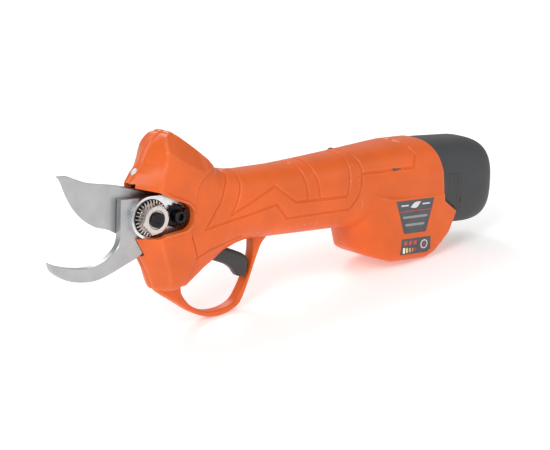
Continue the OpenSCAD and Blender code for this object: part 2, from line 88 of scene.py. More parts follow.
def make_mesh(name, points, faces):
    """A mended mesh from points in the tool's frame and faces."""
    mesh = bpy.data.meshes.new(name)
    corners = [list(map(int, face)) for face in faces]
    mesh.from_pydata(stand(np.asarray(points).reshape(-1, 3)).tolist(), [], corners)
    mend(mesh)
    return mesh


def make_piece(name, points, faces, body, finish, replaces=(), sharp=35, slot=None):
    """An object from points and faces, shaded smooth except at edges sharper than sharp degrees."""
    mesh = make_mesh(name, points, faces)
    return dress(bpy.data.objects.new(name, mesh), body, finish, replaces, sharp)


def mend(mesh):
    """Merges doubled points, drops faces without area and turns all faces outwards."""
    work = bmesh.new()
    work.from_mesh(mesh)
    bmesh.ops.remove_doubles(work, verts=work.verts, dist=2e-6)
    bmesh.ops.dissolve_degenerate(work, edges=work.edges, dist=1e-6)
    bmesh.ops.recalc_face_normals(work, faces=work.faces)
    work.to_mesh(mesh)
    work.free()


def dress(piece, body, finish, replaces=(), sharp=35):
    """Puts an object in the scene on its body, with its finish and the solids it stands for."""
    if piece.name not in bpy.context.scene.collection.objects:
        bpy.context.scene.collection.objects.link(piece)
    mesh = piece.data
    mesh.polygons.foreach_set("use_smooth", np.ones(len(mesh.polygons), bool))
    mesh.set_sharp_from_angle(angle=math.radians(sharp))
    mesh.materials.clear()
    mesh.materials.append(finish)
    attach(piece, body)
    if replaces:
        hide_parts(*replaces)
    print(piece.name, len(mesh.polygons), "faces")
    return piece


# %% Smooth lines, and solids between two lines
def through(points, count=80):
    """Points evenly spaced along a Catmull-Rom cubic through the given ones."""
    p = np.asarray(points, float)
    ends = np.vstack([2 * p[0] - p[1], p, 2 * p[-1] - p[-2]])
    t = np.linspace(0, len(p) - 1 - 1e-9, 40 * len(p))
    i = t.astype(int)
    f = (t - i)[:, None]
    a, b, c, d = ends[i], ends[i + 1], ends[i + 2], ends[i + 3]
    p = 0.5 * (2 * b + (c - a) * f + (2 * a - 5 * b + 4 * c - d) * f**2 + (3 * b - a - 3 * c + d) * f**3)
    length = np.concatenate([[0], np.cumsum(np.linalg.norm(np.diff(p, axis=0), axis=1))])
    at = np.linspace(0, length[-1], count)
    return np.stack([np.interp(at, length, axis) for axis in p.T], -1)


def rounded_section(half, power, count=40, y=0.0):
    """A closed superellipse of share across, 0 to 1, and sideways distance, half wide each way from y."""
    a = np.linspace(0, 2 * math.pi, count, endpoint=False)
    flat = lambda v: np.sign(v) * np.abs(v) ** (2 / power)
    return np.stack([0.5 + 0.5 * flat(np.cos(a)), y + half * flat(np.sin(a))], -1)


def between(first, second, section):
    """Points and faces of a solid that fills the space between two side lines, given in X and Z.
    Each section point lies its share of the way from one line to the other, and its distance along Y."""
    share, y = section[:, 0], section[:, 1]
    side = first[:, None] + (second - first)[:, None] * share[None, :, None]
    points = np.stack([side[..., 0], np.broadcast_to(y, side.shape[:2]), side[..., 1]], -1)
    rows, columns = side.shape[:2]
    ends = [list(range(columns)), list(range((rows - 1) * columns, rows * columns))]
    return points, list(grid_faces(rows, columns, around=True)) + ends


def prism(outline, y0, y1):
    """Points and faces of a flat plate with that side outline, from y0 to y1."""
    outline = np.asarray(outline, float)
    n = len(outline)
    points = [np.stack([outline[:, 0], np.full(n, y), outline[:, 1]], -1) for y in (y0, y1)]
    ends = [list(range(n)), list(range(n, 2 * n))]
    return np.vstack(points), list(grid_faces(2, n, around=True)) + ends


def turned(rings, centre=(0, 0), count=96):
    """Points and faces of a solid of rings about an axis along Y. A ring is a radius and a height along Y,
    and either may change with the angle, as on a hexagon or a toothed wheel."""
    angle = np.linspace(0, 2 * math.pi, count, endpoint=False)
    rows = [[f(angle) if callable(f) else np.full(count, float(f)) for f in ring] for ring in rings]
    r = np.array([row[0] for row in rows])
    y = np.array([row[1] for row in rows])
    points = np.stack([centre[0] + r * np.cos(angle), y, centre[1] + r * np.sin(angle)], -1)
    faces = list(grid_faces(len(rings), count, around=True))
    return points, faces + [list(range(count)), list(range((len(rings) - 1) * count, len(rings) * count))]


def block(skin_points, floor):
    """Points and faces of a closed solid: a grid of points whose rim drops to a flat floor at y = floor."""
    points = np.pad(skin_points, ((1, 1), (1, 1), (0, 0)), mode="edge")
    points[[0, -1], :, 1] = floor
    points[:, [0, -1], 1] = floor
    rows, columns = points.shape[:2]
    number = np.arange(rows * columns).reshape(rows, columns)
    rim = np.concatenate([number[0, :-1], number[:-1, -1], number[-1, :0:-1], number[:0:-1, 0]])
    return points, list(grid_faces(rows, columns)) + [rim[::-1]]


def soften(piece, width, segments=2, angle=30):
    """Rounds an object's sharp edges with a Bevel modifier."""
    bevel = piece.modifiers.new("Rounded edges", "BEVEL")
    bevel.width = width * MM
    bevel.segments = segments
    bevel.limit_method = "ANGLE"
    bevel.angle_limit = math.radians(angle)
    bevel.harden_normals = False
    return piece


def circle(centre, radius, start=0, end=360, count=48):
    """Points on an arc, in X and Z, from start to end degrees."""
    a = np.radians(np.linspace(start, end, count, endpoint=abs(end - start) < 360))
    return np.stack([centre[0] + radius * np.cos(a), centre[1] + radius * np.sin(a)], -1)


print("mesh helpers ready")

# %% [markdown]
# ## Finishes
# Each finish is worked out by shader nodes. Writing the nodes' maths as Python expressions keeps it readable:
# a small class wraps a socket, and an operator on it adds the Math node. Colours go through Mix nodes.

# %% A socket that takes part in expressions
class Socket:
    """A node's output. Arithmetic on it adds Math nodes, and node() adds any other node."""

    def __init__(self, tree, socket=None):
        self.tree = tree
        self.socket = socket

    def node(self, kind, settings=None, out=0, **inputs):
        """Adds a node: its settings first, then the values or links of its sockets, by name or as _0, _1."""
        made = self.tree.nodes.new(kind)
        for key, value in (settings or {}).items():
            if key == "stops":
                fill_ramp(made.color_ramp, value)
            else:
                setattr(made, key, value)
        for key, value in inputs.items():
            target = made.inputs[int(key[1:]) if key[0] == "_" else key.replace("_", " ")]
            if isinstance(value, Socket):
                self.tree.links.new(value.socket, target)
            else:
                target.default_value = value
        return Socket(self.tree, made.outputs[out]) if len(made.outputs) else None

    def math(self, operation, a, b=0.0):
        return self.node("ShaderNodeMath", {"operation": operation}, _0=a, _1=b)

    def __add__(self, other):
        return self.math("ADD", self, other)

    def __sub__(self, other):
        return self.math("SUBTRACT", self, other)

    def __rsub__(self, other):
        return self.math("SUBTRACT", other, self)

    def __mul__(self, other):
        return self.math("MULTIPLY", self, other)

    __radd__ = __add__
    __rmul__ = __mul__

    def ramp(self, *stops):
        """A value or colour read off a ramp of (position, colour or grey) stops."""
        return self.node("ShaderNodeValToRGB", {"stops": stops}, Fac=self)


def fill_ramp(ramp, stops):
    while len(ramp.elements) < len(stops):
        ramp.elements.new(0.5)
    for element, (place, colour) in zip(ramp.elements, stops):
        element.position = place
        element.color = (*colour, 1) if hasattr(colour, "__len__") else (colour, colour, colour, 1)


# %% The parts that every finish shares
def start_finish(name):
    """A new material, an expression root on its tree, and its Object coordinates in millimetres."""
    material = bpy.data.materials.new(name)
    material.use_nodes = True
    tree = material.node_tree
    tree.nodes.clear()
    root = Socket(tree)
    place = root.node("ShaderNodeTexCoord", out=3)
    turn = root.node("ShaderNodeMapping", Vector=place, Rotation=(0, -lean, 0), Scale=(1000, 1000, 1000))
    return material, root, turn


def noise(root, place, size, detail=3.0, stretch=(1, 1, 1)):
    """Noise whose features are about size millimetres across, stretched along the tool's axes."""
    if stretch != (1, 1, 1):
        place = root.node("ShaderNodeMapping", Vector=place, Scale=[1 / s for s in stretch])
    return root.node("ShaderNodeTexNoise", Vector=place, Scale=1 / size, Detail=detail)


def mix(root, factor, a, b):
    """Colour a where the factor is 0 and colour b where it is 1."""
    a, b = [value if isinstance(value, Socket) else (*value, 1) for value in (a, b)]
    return root.node("ShaderNodeMix", {"data_type": "RGBA"}, out=2, _0=factor, _6=a, _7=b)


def end_finish(material, root, colour, roughness, bump, depth, **constants):
    """Closes a finish: surface values go to the shader, and bump is a height of depth millimetres."""
    normal = root.node("ShaderNodeBump", Height=bump, Distance=depth * MM, Strength=1.0)
    shader = root.node("ShaderNodeBsdfPrincipled", Base_Color=colour, Roughness=roughness, Normal=normal,
                       **constants)
    root.node("ShaderNodeOutputMaterial", Surface=shader)
    return material


# %% [markdown]
# Moulded plastic: the mould is spark-eroded, so the skin has a fine even grain. It scatters light softly, and
# proud edges carry a painted highlight: they are mixed towards a paler colour and made a little shinier.

# %% Moulded plastic
def moulded(name, colour, highlight_colour, rough=0.42, grain=0.035, edge=0.5, grain_size=0.35):
    """Plastic of one colour with cloudy variation, a painted highlight in a paler colour on convex edges, and a
    fine grain.
    """
    material, root, place = start_finish(name)
    cloud = noise(root, place, 22, 4)
    fine = noise(root, place, grain_size, 2)
    scuff = noise(root, place, 6, 5)
    # Painted highlight: pointiness picks out convex edges, and they are mixed towards the paler colour.
    raised = root.node("ShaderNodeNewGeometry", out=7).ramp((0.5, 0), (0.56, 1))
    edge_highlight = raised * edge * scuff.ramp((0.3, 0.3), (0.7, 1))
    darker = [c * 0.86 for c in colour]
    base = mix(root, cloud.ramp((0.35, 0), (0.65, 1)), darker, colour)
    roughness = rough + (fine - 0.5) * 0.12 + (scuff - 0.5) * 0.1 - edge_highlight * 0.08
    return end_finish(material, root, mix(root, edge_highlight, base, highlight_colour), roughness, fine + cloud * 0.4, grain)


def clear_finish(name, colour, glow, coat=0.6):
    """A tinted clear moulding over a lit background, with faint moulding ripples."""
    material, root, place = start_finish(name)
    ripple = noise(root, place, 1.2, 2)
    base = mix(root, ripple, [c * 0.75 for c in colour], colour)
    return end_finish(material, root, base, 0.18 + ripple * 0.1, ripple, 0.01, Coat_Weight=coat,
                      Emission_Color=(*colour, 1), Emission_Strength=glow)


orange_shell = moulded("Orange moulded shell", (0.83, 0.125, 0.005), (0.93, 0.24, 0.07), 0.42, 0.03, 0.6)
grip_plastic = moulded("Charcoal moulded plastic", (0.05, 0.052, 0.055), (0.14, 0.14, 0.145), 0.55, 0.05,
                        0.6, 0.5)
trigger_plastic = moulded("Trigger plastic", (0.035, 0.036, 0.037), (0.1, 0.1, 0.1), 0.38, 0.02, 0.6)
plate_plastic = moulded("Slate plate", (0.05, 0.054, 0.062), (0.12, 0.125, 0.13), 0.4, 0.012, 0.6, 0.2)
white_print = moulded("White print", (0.75, 0.75, 0.76), (0.85, 0.85, 0.85), 0.45, 0.008, 0.2)
grey_print = moulded("Grey print", (0.3, 0.3, 0.31), (0.4, 0.4, 0.4), 0.45, 0.008, 0.2)
red_print = moulded("Red print", (0.62, 0.05, 0.03), (0.7, 0.15, 0.1), 0.4, 0.008, 0.2)
print("plastics ready")

# %% [markdown]
# Ground and machined metal: a grinding belt leaves fine parallel scratches, which show as streaks in the
# gloss. The streaks run along a direction that each part can choose, with a few deeper random ones.

# %% Ground metal
def ground(name, colour, stretch=(18, 1, 1), rough=0.3, streak=0.012, stain=0.12):
    """Metal with scratches stretched along one of the tool's axes, patchy gloss and faint stains."""
    material, root, place = start_finish(name)
    lines = noise(root, place, 0.35, 4, stretch)
    patch = noise(root, place, 9, 4)
    cut = noise(root, place, 0.9, 6, stretch).ramp((0.6, 0), (0.68, 1))
    base = mix(root, patch.ramp((0.3, 0), (0.75, 1)) * stain * 4, colour, [c * 0.78 for c in colour])
    roughness = rough + (lines - 0.5) * 0.22 + (patch - 0.5) * 0.14 + cut * 0.08
    return end_finish(material, root, base, roughness, lines + cut * 0.6, streak, Metallic=1.0)


blade_steel = ground("Ground blade steel", (0.5, 0.505, 0.51), (14, 1, 1), 0.38, 0.012)
bright_steel = ground("Machined steel", (0.66, 0.6, 0.565), (1, 6, 1), 0.27, 0.008)
aluminium = ground("Machined aluminium", (0.82, 0.825, 0.84), (1, 1, 8), 0.28, 0.012)
black_steel = ground("Blackened steel", (0.035, 0.035, 0.038), (1, 4, 1), 0.42, 0.012)
gear_steel = ground("Hardened gear steel", (0.3, 0.3, 0.31), (6, 1, 1), 0.36, 0.012)
bronze = ground("Sintered bronze", (0.5, 0.31, 0.13), (1, 1, 1), 0.45, 0.02)
copper = ground("Copper winding", (0.72, 0.32, 0.16), (1, 12, 1), 0.35, 0.05)
brass = ground("Plated brass contact", (0.78, 0.56, 0.22), (8, 1, 1), 0.25, 0.01)
print("metals ready")

# %% Finishes of the inner parts
circuit_green = moulded("Lacquered circuit board", (0.01, 0.12, 0.05), (0.3, 0.22, 0.08), 0.3, 0.03, 0.5, 0.8)
cell_sleeve = moulded("Cell sleeve", (0.02, 0.09, 0.36), (0.1, 0.2, 0.5), 0.3, 0.01, 0.3)
wire_rubber = moulded("Wire insulation", (0.42, 0.015, 0.012), (0.5, 0.1, 0.08), 0.5, 0.02, 0.2)
red_lens = clear_finish("Red tinted lens", (0.5, 0.06, 0.05), 0.12)
clear_lens = clear_finish("Clear lamp lens", (0.78, 0.8, 0.84), 0.05, 1.0)
level_colours = [(0.85, 0.84, 0.8), (0.85, 0.68, 0.12), (0.85, 0.42, 0.24), (0.88, 0.25, 0.05),
                 (0.65, 0.04, 0.03)]
level_lenses = [clear_finish("Charge bar lens %d" % (i + 1), c, 0.15) for i, c in enumerate(level_colours)]

node_slots = {part["node"]: part["material_slot"] for part in frame["record"]["subparts"]}
slot_finishes = {
    "orange_shell": orange_shell, "blade_steel": blade_steel, "bright_steel": bright_steel,
    "aluminium": aluminium, "black_steel": black_steel, "bronze": bronze, "gear_steel": gear_steel,
    "dark_plastic": grip_plastic, "plate_plastic": plate_plastic, "red_lens": red_lens,
    "level_lens": level_lenses[1], "light_lens": clear_lens, "button_cap": white_print,
    "circuit": circuit_green, "cell_sleeve": cell_sleeve, "copper": copper, "contact_metal": brass,
    "wire": wire_rubber}
for node, piece in frame["nodes"].items():
    piece.data.materials.clear()
    piece.data.materials.append(slot_finishes[node_slots[node]])
print(len(slot_finishes), "finishes on the frame's parts")

# %% [markdown]
# ## The orange shells
# Each shell is one half of a clamshell moulding. It has no undercut, so its skin is a height over the seam
# plane: for every place in X and Z there is one distance y from the seam. The head, the handle and the box
# are each such a height, and the skin is the largest of them. Columns run from the nose seam round to the
# battery, and each column is sampled evenly along its own curved length.

# %% Lines of the housing, in X and Z
def line(*points):
    """A function that reads one coordinate off a line of points by the other, straight between them."""
    at, value = np.array(points, float).T
    return lambda v: np.interp(v, at, value)


top_line = line((8, 44.2), (13, 44.4), (17, 42.2), (37, 28.8), (39.8, 26), (42, 23.6), (46, 22.2), (55, 20.6),
                (62, 20.2), (86, 21), (111, 23), (133, 25), (147, 26.2), (172, 28.4), (200, 28.4), (215, 28))
barrel_low = line((5, -41), (24, -41), (28, -38.5), (42, -30.5), (50, -25.6), (58, -22), (65, -20),
                  (86, -19.6), (109, -19.6), (133, -19.4), (160, -22), (200, -24), (215, -24))
box_low = line((136.5, -17), (137.3, -19.5), (139, -25), (140.6, -30), (142, -32.6), (145, -35),
               (150, -37.2),
               (163, -41), (188, -41), (194, -38.6), (199, -33.8), (204, -28.2), (208.6, -15.4),
               (215, -12))
box_front = line((-45, 141.5), (-31, 140.6), (-18, 137), (0, 133))
nose_line = line((-41, 7.7), (-31, 3.6), (-24, -0.2), (-18.7, -3.2), (-10, -9), (17.7, -9.5), (23, -6.1),
                 (28.6, -0.5), (35, 2.6), (39.5, 5.7), (43.5, 10))
ridge_line = line((-41, 13.2), (-28, 9), (-11, 2.7), (13, 2), (21, 3.7), (29, 6.1), (36, 7.5),
                  (42.4, 9.2), (43.5, 12))
battery_seam = line((-41, 208), (-21, 208.5), (-15, 209.6), (-7, 198.7), (11, 197), (20, 194.4),
                    (28, 190.8), (40, 187))
half_width = line((3, 14.4), (24, 14.4), (34, 14.6), (44, 15.2), (56, 16.4), (86, 17), (111, 17.8), (133, 19),
                  (160, 21), (172, 21.9), (200, 22.6), (215, 22.6))
upper_power = line((22, 5), (34, 3.2), (44, 2.5), (86, 2.3), (133, 2.5), (160, 2.9), (200, 3.1))
lower_power = line((14, 6), (24, 4), (36, 2.6), (50, 1.9), (66, 2.1), (86, 2.3), (133, 2.5), (160, 2.9),
                   (200, 3.0))
middle_line = line((24, 0), (44, -1), (60, 0), (86, 0.7), (133, 2.6), (200, 2))
cheek = 23.0
head_back = 24.0
nose_half = 2.6
head_half = 14.4
seam_gap = 0.07
wall = 2.2
box_round_end = 165
box_round_power = 2.2
box_start = 136.5
box_floor_round = -8
box_floor_power = 9
shoulder_top = -3.2
shoulder_slope = 0.9
crest_start = (12, 31)
crest_slope = 0.54
crest_cut = 0.62
crest_end = 44
crest_fade = 14
box_blend = 0.9


# %% The height of the skin over the seam plane
def barrel_height(x, z, top, low):
    """Half of a superellipse across the handle: its power and middle change along X."""
    middle = middle_line(x)
    up = np.clip((z - middle) / (top - middle), 0, 1) ** upper_power(x)
    down = np.clip((middle - z) / (middle - low), 0, 1) ** lower_power(x)
    power = np.where(z > middle, upper_power(x), lower_power(x))
    return half_width(x) * (1 - np.maximum(up, down)) ** (1 / power)


def box_height(x, z):
    """The controller box: a rounded front, flat cheeks behind it, and a shoulder under the handle."""
    front = box_front(z)
    ahead = np.clip((box_round_end - x) / (box_round_end - front), 0, 1)
    shoulder = cheek - shoulder_slope * (z - shoulder_top)
    flat = np.minimum(cheek * (1 - ahead**box_round_power) ** (1 / box_round_power), shoulder)
    low = np.minimum(box_low(x), box_floor_round - 4)
    depth = np.clip((box_floor_round - z) / (box_floor_round - low), 0, 1)
    return np.where(x > front, flat * (1 - depth**box_floor_power) ** (1 / box_floor_power), -1.0)


def shell_height(x, z, top, low):
    """The larger of barrel and box, with the crest of the head cut back by a slanted facet."""
    barrel = barrel_height(x, z, top, low)
    facet = crest_start[1] - crest_slope * (x - crest_start[0])
    crest = np.maximum(z - facet, 0) * crest_cut * np.clip((crest_end - x) / crest_fade, 0, 1)
    barrel = np.minimum(barrel, np.maximum(half_width(x) - crest, 0.45 * barrel))
    box = box_height(x, z)
    share = np.clip(0.5 + 0.5 * (barrel - box) / box_blend, 0, 1)
    return box + (barrel - box) * share + box_blend * share * (1 - share)


# %% [markdown]
# The columns run over five edge lines: the nose seam, the edge of its flat strip, the ridge where the cheek
# begins, the back of the head and the battery seam. In front of the ridge the height is capped, which gives
# the flat strip and the facet behind it.

# %% The grid of the skin
def column_places():
    """Column numbers from 0 at the nose seam to 4 at the battery seam, denser where the lines are closer."""
    spans = ((0, 1, 5), (1, 2, 16), (2, 3, 44), (3, 3.6, 190), (3.6, 3.68, 56), (3.68, 4, 90))
    return np.concatenate([np.linspace(a, b, n, endpoint=False) for a, b, n in spans] + [[4.0]])


def column_x(place, z):
    """Where a column is in X at a height z: it slides from one edge line to the next."""
    lines = np.stack([nose_line(z), nose_line(z), ridge_line(z), np.full(z.shape, head_back),
                      battery_seam(z)])
    i = np.minimum(place.astype(int), 3)[:, None]
    share = place[:, None] - i
    a, b = (np.take_along_axis(lines, np.broadcast_to(k, z.shape)[None], 0)[0] for k in (i, i + 1))
    return a + (b - a) * share


def column_end(place, outline, start):
    """The height where a column meets the outline, found by reading it a few times over."""
    z = np.full((len(place), 1), float(start))
    for _ in range(6):
        z = outline(column_x(place, z))
    return z


def skin(rows=190, samples=900):
    """Points of the skin for y above 0: the height sampled along each column, evenly by its length."""
    place = column_places()
    lowest = lambda x: np.minimum(barrel_low(x), np.where(x > box_start, box_low(x), 0))
    top = column_end(place, top_line, 35)
    low = column_end(place, lowest, -30)
    front = place[:, None] < 2
    top = np.where(front, 42.6 + 0.45 * place[:, None], top)
    low = np.where(front, -40.2 - 0.4 * place[:, None], low)
    share = (1 - np.cos(np.linspace(0, math.pi, samples))) / 2
    z = top + (low - top) * share
    x = column_x(place, z)
    cap = np.interp(place, [0, 1, 2, 2.01], [0, nose_half, head_half, 99])[:, None]
    upper = np.where(front, top, top_line(x))
    lower = np.where(front, low, barrel_low(x))
    y = np.minimum(cap, shell_height(x, z, upper, lower))
    y[:, [0, -1]] = 0
    dense = np.stack([x, y, z], -1)
    step = np.linalg.norm(np.diff(dense, axis=1), axis=2)
    length = np.concatenate([np.zeros((len(place), 1)), np.cumsum(step, axis=1)], axis=1)
    at = np.linspace(0, 1, rows)
    return np.stack([[np.interp(at * run[-1], run, axis) for axis in column.T]
                     for column, run in zip(dense, length)])


def grid_normals(points):
    """Unit normals of a grid of points, from the cross product of its two directions."""
    across = np.gradient(points, axis=0)
    down = np.gradient(points, axis=1)
    normal = np.cross(down, across)
    return normal / np.maximum(np.linalg.norm(normal, axis=2, keepdims=True), 1e-9)


base_skin = np.swapaxes(skin(), 1, 2)
print("skin grid", base_skin.shape)

# %% [markdown]
# Shallow grooves divide the handle into panels, and the head stands a little proud of the neck. Each is a
# smooth step of the distance to a line or an outline, so one grid carries them all as real relief.

# %% Relief: grooves and raised panels
def segment_distance(x, z, points, closed=False):
    """Shortest distance in the side plane from each place to a line of points."""
    p = np.array(points, float)
    q = np.roll(p, -1, axis=0) if closed else p[1:]
    best = np.full(x.shape, 1e9)
    for (ax, az), (bx, bz) in zip(p, q):
        dx, dz = bx - ax, bz - az
        t = np.clip(((x - ax) * dx + (z - az) * dz) / (dx * dx + dz * dz), 0, 1)
        best = np.minimum(best, np.hypot(x - ax - t * dx, z - az - t * dz))
    return best


def inside(x, z, points):
    """True where a place is inside a closed outline, by counting crossings of a ray."""
    p = np.array(points, float)
    count = np.zeros(x.shape, int)
    for (ax, az), (bx, bz) in zip(p, np.roll(p, -1, axis=0)):
        crosses = (az > z) != (bz > z)
        count += crosses & (x < ax + (z - az) * (bx - ax) / (bz - az + 1e-12))
    return count % 2 == 1


def step_up(distance, width):
    """0 below 0, 1 beyond width, and a smooth S between."""
    t = np.clip(distance / width, 0, 1)
    return t * t * (3 - 2 * t)


head_panel = [(-40, 60), (30, 60), (42, 25.6), (40, 23.4), (34, 21.8), (29, 18.8), (26, 14.5), (25, 8),
              (23.5, 2), (22.5, -9), (26.5, -23), (17, -43), (-40, -60)]
grooves = [through([(48, 25), (47.8, 19), (44.6, 12.4), (40, 3.3), (32.2, -8.6)], 14),
           np.vstack([through([(56, 22), (55.8, 17.5), (55.3, 13.5), (52.4, 5.6), (48.5, -1.7)], 12),
                      [(77.9, 11.7), (91.8, 1.4), (127.2, 1.5)],
                      through([(127.2, 1.5), (129.5, 12), (130, 22), (128.5, 26)], 8)[1:]]),
           np.vstack([[(32.2, -8.6), (78.8, 1.3), (86.2, -7.7), (129.9, -6.3)],
                      through([(129.9, -6.3), (136, 2), (138.2, 13.5), (137.6, 21), (134, 28)], 12)[1:]]),
           through([(95, 24), (98.3, 16.5), (99.9, 2.2)], 8),
           through([(103.5, 25), (106.4, 15.5), (108.7, 1.8)], 8),
           [(138, 13.8), (174.5, 15), (177.5, 21.5), (174.5, 27), (171, 30)],
           [(23, -12), (27.4, -24), (36, -20.7), (58, -15.4)]]
groove_half = 0.7
groove_depth = 0.75
panel_lift = 1.0
panel_edge = 0.9
seam_fade = 1.2
slot_round = (15.0, 0.0)
slot_radius = 8.0
slot_outline = np.vstack([[(-24, 20), (-12, 17), (2, 14.4), (8, 11)],
                          circle(slot_round, slot_radius, 62, -66, 22),
                          [(6, -9), (2, -10.6), (-12, -12), (-24, -14)]])
rim_height = 1.0
rim_half = 1.1
rim_edge = 0.7
rim_start = 3


def relief(points, has_slot):
    """Height to add along the normal: panels up, grooves down, and a rim round the end of the cheek slot."""
    x, z = points[..., 0], points[..., 2]
    edge = segment_distance(x, z, head_panel, closed=True)
    lift = panel_lift * np.where(inside(x, z, head_panel), step_up(edge, panel_edge), 0)
    near = np.min([segment_distance(x, z, g) for g in grooves], axis=0)
    lift = lift - groove_depth * (1 - step_up(near - 0.3, groove_half))
    if has_slot:
        rim = segment_distance(x, z, slot_outline)
        lift = lift + rim_height * (1 - step_up(rim - rim_half, rim_edge)) * step_up(x - rim_start, 4)
    return lift * step_up(points[..., 1], seam_fade)


# %% [markdown]
# A shell needs a wall. The outer skin is closed by the seam plane into a solid, and the space inside is the
# same skin moved in along its normals, at a third of the detail, and run out past the seam and the battery
# end. Taking the space from the solid leaves the moulded wall.

# %% The solid of one shell, and the space inside it
def shell_solids(side, has_slot):
    """Points and faces of the outer solid and of the space in it, on side -1 (left) or +1 (right)."""
    normal = grid_normals(base_skin)
    normal *= np.sign(normal[..., 1].mean())
    outer = base_skin + normal * relief(base_skin, has_slot)[..., None]
    outer[..., 1] = np.maximum(outer[..., 1], 0) + seam_gap
    space = (base_skin - wall * normal)[::3, ::3]
    space[..., 1] = np.maximum(space[..., 1], -1)
    space = np.concatenate([space, space[-1:] + (6, 0, 0)])
    solids = []
    for grid, floor in ((outer, seam_gap), (space, -2.0)):
        points, faces = block(grid, floor)
        solids.append((points * (1, side, 1), faces))
    return solids


def carve(piece, cutters):
    """Cuts prisms out of a piece with Boolean modifiers and keeps the result as its mesh."""
    for points, faces in cutters:
        tool = bpy.data.objects.new("Cutter", make_mesh("Cutter", points, faces))
        bpy.context.scene.collection.objects.link(tool)
        tool.hide_render = True
        cut = piece.modifiers.new("Cut", "BOOLEAN")
        cut.operation = "DIFFERENCE"
        cut.solver = "MANIFOLD"
        cut.object = tool
    bpy.context.view_layer.update()
    result = bpy.data.meshes.new_from_object(piece.evaluated_get(bpy.context.evaluated_depsgraph_get()))
    tools = [m.object for m in piece.modifiers]
    piece.modifiers.clear()
    piece.data = result
    for tool in tools:
        bpy.data.objects.remove(tool)
    print(piece.name, "carved to", len(result.polygons), "faces")
    return piece


# %% The two shells with their openings
blade_slot = [(-24, 18.5), (5, 18.5), (5, -17), (-2, -21.5), (-14, -27), (-24, -30.5)]
trigger_slot = [(38, -14), (60, -14), (74, -17), (74, -24), (60, -27), (40, -36), (37, -24)]
screw_places = [(33, 24), (58, -16.3), (117, -15), (140, 21), (156, -35), (20, -36)]
screw_hole = 3.1
screw_seat = 11.8
beyond_shell = 30
bolt_hole = 8
lamp_hole = 2.45
trigger_slot_half = 4.9
lamp_centre = np.array([-5.6, 24.0])
lamp_tilt = math.radians(42)


def lamp_ring(radius, height, count=40):
    """Points on a circle about the lamp's axis, which leans forward and up out of the nose."""
    a = np.linspace(0, 2 * math.pi, count, endpoint=False)
    out = np.array([-math.cos(lamp_tilt), math.sin(lamp_tilt)])
    along = np.array([math.sin(lamp_tilt), math.cos(lamp_tilt)])
    side = lamp_centre + height * out + (radius * np.sin(a))[:, None] * along
    return np.stack([side[:, 0], radius * np.cos(a), side[:, 1]], -1)


def lamp_stack(rings):
    """A solid of rings about the lamp's axis."""
    points = np.array([lamp_ring(r, h) for r, h in rings])
    n = points.shape[1]
    ends = [list(range(n)), list(range((len(rings) - 1) * n, len(rings) * n))]
    return points, list(grid_faces(len(rings), n, around=True)) + ends


def build_shell(name, side):
    """One shell: the closed skin less its slots, holes and recesses."""
    solid, space = shell_solids(side, side < 0)
    node = name.replace("_shell", "_housing")
    shell = make_piece(name, *solid, "handle", orange_shell, [node], slot="orange_shell")
    cutters = [space, prism(blade_slot, -5.2, 4.5),
               prism(trigger_slot, -trigger_slot_half, trigger_slot_half),
               lamp_stack([(lamp_hole, -8), (lamp_hole, 8)])]
    if side < 0:
        cutters += [prism(slot_outline, -beyond_shell, -1)]
    else:
        bolt_seat = [turned([(bolt_hole, 3), (bolt_hole, beyond_shell)]),
                     turned([(bolt_hole, 13.6), (bolt_hole + 2, 16)])]
        sector_pocket = turned([(10, 0), (10, 6)])
        screw_bore = [(screw_hole, screw_seat), (screw_hole, beyond_shell)]
        cutters += bolt_seat + [sector_pocket]
        cutters += [turned(screw_bore, centre) for centre in screw_places]
    shell = carve(shell, cutters)
    return dress(shell, "handle", orange_shell, sharp=32)


build_shell("left_shell", -1)
build_shell("right_shell", 1)

# %% [markdown]
# The trigger guard is moulded with the shells as a slim rounded bow. It fills the space between an outer and
# an inner side line, with a rounded section and a fine groove where the two halves meet.

# %% Trigger guard
guard_outer = through([(6, -39), (10, -43.6), (21, -50.6), (32, -57.4), (42, -61.2), (51, -61.7),
                       (59, -59.7), (64.6, -56.4), (68.5, -49), (74, -34.5), (76.2, -29.4), (79, -23.8),
                       (82, -20.6), (87, -17)], 130)
guard_inner = through([(25, -35), (25.2, -43), (26.5, -47.5), (31.5, -53.2), (39, -57), (46, -58.2),
                       (54, -57.4), (60.5, -54.6), (65, -49), (69, -41.5), (71.6, -34), (72.4, -26),
                       (71.5, -17)], 130)


def seamed(section, depth=0.35, width=0.5):
    """A section with a fine groove on its edges where y is near 0."""
    share, y = section.T
    pull = depth * np.exp(-((y / width) ** 2)) * np.sign(0.5 - share)
    return np.stack([share + pull * 0.08, y], -1)


guard_section = seamed(rounded_section(4.0, 3.2, 64))
make_piece("trigger_guard", *between(guard_outer, guard_inner, guard_section), "handle", orange_shell,
           slot="orange_shell")

# %% [markdown]
# ## The blades
# Both blades are cut from plate and ground. A blade fills the space between its back and its edge, and its
# section says where the plate thins: the cutting blade has a hollow-ground bevel that ends in a fine edge.

# %% Cutting blade
blade_back = through([(-52.4, 25.4), (-47, 25.1), (-42, 23.2), (-33, 20.2), (-15, 17.3), (0, 13.4),
                      (8.5, 9.3), (12.6, 2), (11.8, -5.2)], 110)
blade_edge = through([(-52.2, 24.2), (-50.6, 20), (-48, 14.5), (-44, 8), (-38, 1.6), (-30, -3.4), (-22, -5.7),
                      (-16, -8.5), (-8, -11), (0, -12.8), (7, -10.6)], 110)
blade_face = 0.3
blade_thick = 3.4
blade_section = np.array([(0.0, 0.5), (0.03, blade_face), (0.985, blade_face), (1.0, 0.42), (0.93, 0.95),
                          (0.8, 1.9), (0.68, 2.8), (0.6, blade_thick - 0.1), (0.56, blade_thick),
                          (0.05, blade_thick), (0.0, blade_thick - 0.4)])
make_piece("curved_cutting_blade", *between(blade_back, blade_edge, blade_section), "blade", blade_steel,
           ["cutting_blade"], sharp=12, slot="blade_steel")

